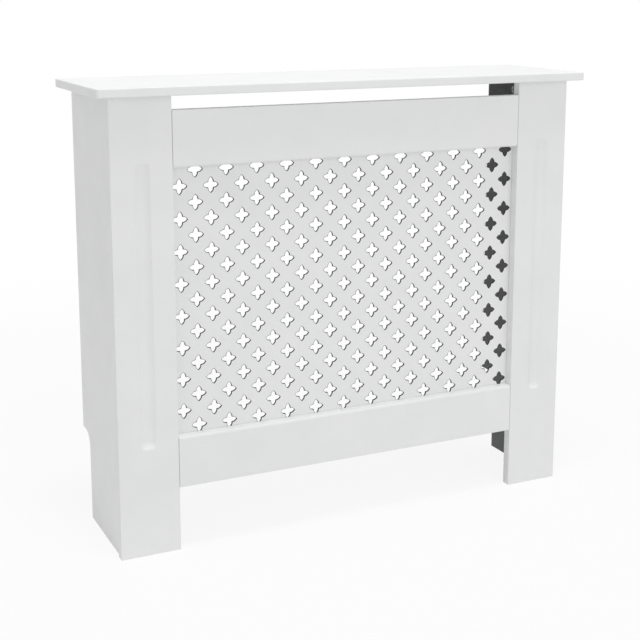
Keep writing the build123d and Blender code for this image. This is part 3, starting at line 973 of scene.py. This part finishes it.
class CABINET_OT_dowels(Operator):
    """Make the grooved beech dowels of every joint"""

    bl_idname = "cabinet.dowels"
    bl_label = "Dowels"

    def execute(self, context):
        sizes = context.scene.cabinet_fittings
        joints = (("top", Z, Y), ("front", Y, Z), ("top_rail", X, Z), ("bottom_rail", X, Z))
        for side in SIDES:
            for place, grain, row in joints:
                node = f"{side}_{place}_dowels"
                skin = Skin()
                for low, high in clusters(node, row):
                    points = self.dowel(sizes, high[grain] - low[grain])
                    skin.grid(laid_in((low, high), grain, 1, points))
                wood = shared(beech_wood, "beech_along_" + "xyz"[grain], grain)
                make_piece(f"{node}_grooved", skin, [wood], node)
        return {"FINISHED"}

    def dowel(self, sizes, whole):
        """A dowel. Its radius falls by a groove's depth where the cosine of the groove count
        times the angle is near minus one, and at its ends along the chamfers."""
        radius, chamfer = 4.0 * MM, sizes.dowel_chamfer
        end = radius - chamfer * 0.8  # a chamfer goes in by less than it goes along
        along = np.array([0, 0, chamfer, whole / 2, whole - chamfer, whole, whole])
        radii = np.array([0, end, radius, radius, radius, end, 0])[:, None]
        angle = even_turns(sizes.dowel_grooves * GROOVE_STEPS)
        groove = ((1 - np.cos(sizes.dowel_grooves * angle)) / 2) ** 3
        return turned(along, radii - sizes.dowel_groove * groove * (radii == radius))


class CABINET_OT_brackets(Operator):
    """Make the two bent steel wall brackets"""

    bl_idname = "cabinet.brackets"
    bl_label = "Wall Brackets"

    def execute(self, context):
        sizes = context.scene.cabinet_fittings
        low, high = clusters("wall_brackets", X)[0]
        bend = sizes.bend_radius
        x, y, z = np.eye(3)
        axis = np.array([low[0] + bend, high[1] - bend, (low[2] + high[2]) / 2])
        far, half = high[0] - low[0] - bend, (high[2] - low[2]) / 2
        skin = Skin()
        for directions in ((z, x, y), (z, -y, -x)):
            self.add_leg(skin, sizes, axis, directions, far, half)
        turn = np.linspace(0, np.pi / 2, BEND_STEPS + 1)
        spokes = np.outer(np.cos(turn), y) - np.outer(np.sin(turn), x)
        inner = bend - sizes.bracket_thickness
        section = ((-half, bend), (half, bend), (half, inner), (-half, inner))
        skin.grid(np.stack([axis + side * z + radius * spokes for side, radius in section], 1))
        pair = skin.mirrored()
        skin.add(np.concatenate(pair.points), pair.faces)
        steel = shared(plated_steel, "bracket_steel", 0.38)
        make_piece("wall_brackets_bent", skin, [steel], "wall_brackets")
        return {"FINISHED"}

    def add_leg(self, skin, sizes, axis, directions, far, half):
        """A flat leg from the bend, with a hole and two rounded free corners. It is drawn in u,
        across the bracket, and v, away from the bend; w points out of the bracket."""
        corner = sizes.bracket_corner
        corners = rectangle((-half, 0), (half, far))
        outline = without_repeats(rounded_outline(corners, [0, 0, corner, corner])[0])
        hole = circle((0, sizes.hole_inset - sizes.bend_radius), sizes.bracket_hole, HOLE_STEPS)
        levels = sizes.bend_radius, sizes.bend_radius - sizes.bracket_thickness
        for level in levels:
            points = at_level(np.concatenate((outline, hole)), level) @ directions
            skin.add(axis + points, filled([outline, hole]))
        rim = np.roll(outline, -1, axis=0)
        for path, is_closed in ((rim, False), (hole, True)):
            skin.grid(axis + wall(path, levels) @ directions, closed=is_closed)


class CABINET_OT_screws(Operator):
    """Make the pan-head screws of the grille and of the wall brackets"""

    bl_idname = "cabinet.screws"
    bl_label = "Screws"

    def execute(self, context):
        sizes = context.scene.cabinet_fittings
        for node, axis in (("bracket_screws", X), ("top_rail_screws", Y), ("bottom_rail_screws", Y)):
            skin = Skin()
            for low, high in clusters(node, X):
                sense = -1 if axis == Y else np.sign(low[0] + high[0])
                points = self.screw(sizes, (high - low)[axis])
                skin.grid(laid_in((low, high), axis, sense, points, twist=2))
            steel = shared(plated_steel, "bright_steel", 0.28)
            make_piece(f"{node}_threaded", skin, [steel], node)
        return {"FINISHED"}

    def screw(self, sizes, whole):
        """A screw along its axis from the top of its head. The head's profile is a
        superellipse, and its cross recess grows deeper towards the middle."""
        head_radius, head_height, root, tip = 3.7 * MM, 2.2 * MM, 1.3 * MM, 2.2 * MM
        head_rings, shank_rings, tip_rings = 18, 66, 12
        swing = np.sin(np.linspace(0, np.pi / 2, head_rings))
        wide, tall = 3, 2.4  # the superellipse's powers
        head_s = head_height * (1 - (1 - swing**wide) ** (1 / tall))
        shank_s = np.linspace(head_height, whole - tip, shank_rings)
        tip_s = np.linspace(whole - tip, whole, tip_rings)[1:]
        along = np.concatenate((head_s, shank_s, tip_s))
        shank_r = np.full(len(shank_s), root)
        core = np.concatenate((head_radius * swing, shank_r, root * (whole - tip_s) / tip))
        crest = core + sizes.thread_height * np.minimum((whole - along) / tip, 1)
        start, end = head_height + 0.6 * MM, whole + sizes.thread_pitch
        swept = threaded(along, core, crest, sizes.thread_pitch, SCREW_STEPS, start, end)
        cross = {"cross_length": 3.9 * MM, "cross_width": 0.95 * MM, "depth": 1.3 * MM}
        recess = cross_recess(**cross, softness=0.25 * MM)
        shallow, funnel = 0.45, 3.2 * MM  # the share of the depth that is left, this far out
        level = 0.7 * head_height  # the recess moves only the points above this

        def relief(x, y, z):
            taper = np.clip(1 - np.hypot(x, y) / funnel, 0, 1)
            deep = recess(x, y) * (shallow + (1 - shallow) * taper)
            return np.where(z < level, deep, 0)

        return turned(along, swept, relief)


# ---- Stage ----

FLOOR_SIZE = 30.0  # from the middle to a side
VEIL_START = 0.3  # where the floor's shadow starts to fade, as a share of its reach
LAMP_AIM = (0, 0, 0.5)
LAMPS = (("front", (1.4, -6.0, 2.0), 3.6), ("top", (-0.3, -0.6, 4.2), 0.8))  # place and width


def show_white(nodes, surface, output, veil=None):
    """Shows a white veil over a surface, to the camera and in gloss and glass alone."""
    path = nodes.add("ShaderNodeLightPath")
    amount = path.outputs["Is Camera Ray"]
    for ray in ("Is Glossy Ray", "Is Transmission Ray"):
        amount = nodes.math("MAXIMUM", amount, path.outputs[ray])
    if veil:
        amount = nodes.math("MULTIPLY", amount, veil)
    is_world = surface.bl_idname == "ShaderNodeBackground"
    kind = "ShaderNodeBackground" if is_world else "ShaderNodeEmission"
    white = nodes.add(kind, {"Color": WHITE, "Strength": 1.0})
    layers = {"Fac": amount, 1: surface.outputs[0], 2: white.outputs[0]}
    blend = nodes.add("ShaderNodeMixShader", layers)
    nodes.add(output, {"Surface": blend.outputs[0]})


def looking(place, forward):
    """The matrix of a camera or lamp that stands at a place and looks forward, upright."""
    forward = forward / np.linalg.norm(forward)
    right = np.cross(forward, (0, 0, 1))
    right /= np.linalg.norm(right)
    turn = np.eye(4)
    turn[:3] = np.stack((right, np.cross(right, forward), -forward, place), 1)
    return Matrix(turn.tolist())


class CABINET_OT_stage(Operator):
    """Make the pale floor, the soft light and the camera"""

    bl_idname = "cabinet.stage"
    bl_label = "Stage"

    def execute(self, context):
        stage = context.scene.cabinet_stage
        self.make_floor(stage, context.scene.cabinet_colours.floor)
        self.make_world(context.scene, stage)
        for name, place, width in LAMPS:
            self.make_lamp(f"{name}_softbox", place, width, getattr(stage, f"{name}_lamp"))
        self.make_camera(context.scene, stage)
        context.scene.view_settings.view_transform = "Standard"
        return {"FINISHED"}

    def make_floor(self, stage, pale):
        """A wide floor whose shadows fade into white away from the middle."""
        corners = at_level(rectangle([-FLOOR_SIZE] * 2, [FLOOR_SIZE] * 2), 0)
        mesh = bpy.data.meshes.new("floor")
        mesh.from_pydata(corners.tolist(), [], [(0, 1, 2, 3)])
        material = bpy.data.materials.new("pale_floor")
        nodes = Nodes(material)
        matt = nodes.add("ShaderNodeBsdfDiffuse", {"Color": (*pale, 1)})
        place = nodes.add("ShaderNodeTexCoord").outputs["Object"]
        distance = nodes.add("ShaderNodeVectorMath", {0: place}, operation="LENGTH").outputs["Value"]
        start, end = VEIL_START * stage.floor_reach, stage.floor_reach
        veil = nodes.ranged(distance, stage.floor_veil, 1, start, end, "SMOOTHSTEP")
        show_white(nodes, matt, "ShaderNodeOutputMaterial", veil)
        mesh.materials.append(material)
        in_scene("floor", mesh)

    def make_world(self, scene, stage):
        """Even light from all round, and a white background."""
        world = bpy.data.worlds.new("even_light")
        nodes = Nodes(world)
        even = nodes.add("ShaderNodeBackground", {"Color": WHITE, "Strength": stage.ambient})
        show_white(nodes, even, "ShaderNodeOutputWorld")
        scene.world = world

    def make_lamp(self, name, place, width, power):
        """A square lamp that shines at the cabinet."""
        lamp = bpy.data.lights.new(name, "AREA")
        lamp.shape = "SQUARE"
        lamp.size = width
        lamp.energy = power
        holder = in_scene(name, lamp)
        holder.matrix_world = looking(np.array(place), np.array(LAMP_AIM) - np.array(place))

    def make_camera(self, scene, stage):
        """A camera that looks along Y, turned to the right and tilted down."""
        lens = bpy.data.cameras.new("camera")
        lens.sensor_width = 36.0
        lens.lens = stage.focal * lens.sensor_width
        lens.shift_y = -stage.shift
        holder = in_scene("camera", lens)
        turn, tilt = stage.camera_turn, stage.camera_tilt
        forward = (np.sin(turn) * np.cos(tilt), np.cos(turn) * np.cos(tilt), -np.sin(tilt))
        holder.matrix_world = looking(np.array(stage.camera_place), np.array(forward))
        scene.camera = holder


# ---- Panel and registration ----

GROUPS = {
    "cabinet_panels": CabinetPanelSizes,
    "cabinet_flute": CabinetFluteSizes,
    "cabinet_grille": CabinetGrilleSizes,
    "cabinet_fittings": CabinetFittingSizes,
    "cabinet_colours": CabinetColours,
    "cabinet_stage": CabinetStage,
}
OPERATORS = (
    CABINET_OT_top_board,
    CABINET_OT_side_panels,
    CABINET_OT_pilasters,
    CABINET_OT_rails,
    CABINET_OT_grille,
    CABINET_OT_cams,
    CABINET_OT_cam_bolts,
    CABINET_OT_dowels,
    CABINET_OT_brackets,
    CABINET_OT_screws,
    CABINET_OT_stage,
)


class VIEW3D_PT_cabinet(Panel):
    """The cabinet's pieces and the sizes that they are made with"""

    bl_idname = "VIEW3D_PT_cabinet"
    bl_label = "Radiator Cover Cabinet"
    bl_space_type = "VIEW_3D"
    bl_region_type = "UI"
    bl_category = "Cabinet"

    def draw(self, context):
        for operator in OPERATORS:
            self.layout.operator(operator.bl_idname)
        for group in GROUPS:
            box = self.layout.box()
            settings = getattr(context.scene, group)
            for name in settings.bl_rna.properties.keys():
                if name not in ("rna_type", "name"):
                    box.prop(settings, name)


CLASSES = (*GROUPS.values(), *OPERATORS, VIEW3D_PT_cabinet)


def register():
    for made in CLASSES:
        bpy.utils.register_class(made)
    for name, group in GROUPS.items():
        setattr(bpy.types.Scene, name, PointerProperty(type=group))


def unregister():
    for name in GROUPS:
        delattr(bpy.types.Scene, name)
    for made in reversed(CLASSES):
        bpy.utils.unregister_class(made)


def main():
    register()
    for operator in OPERATORS:
        family, name = operator.bl_idname.split(".")
        getattr(getattr(bpy.ops, family), name)()


if __name__ == "__main__":
    main()
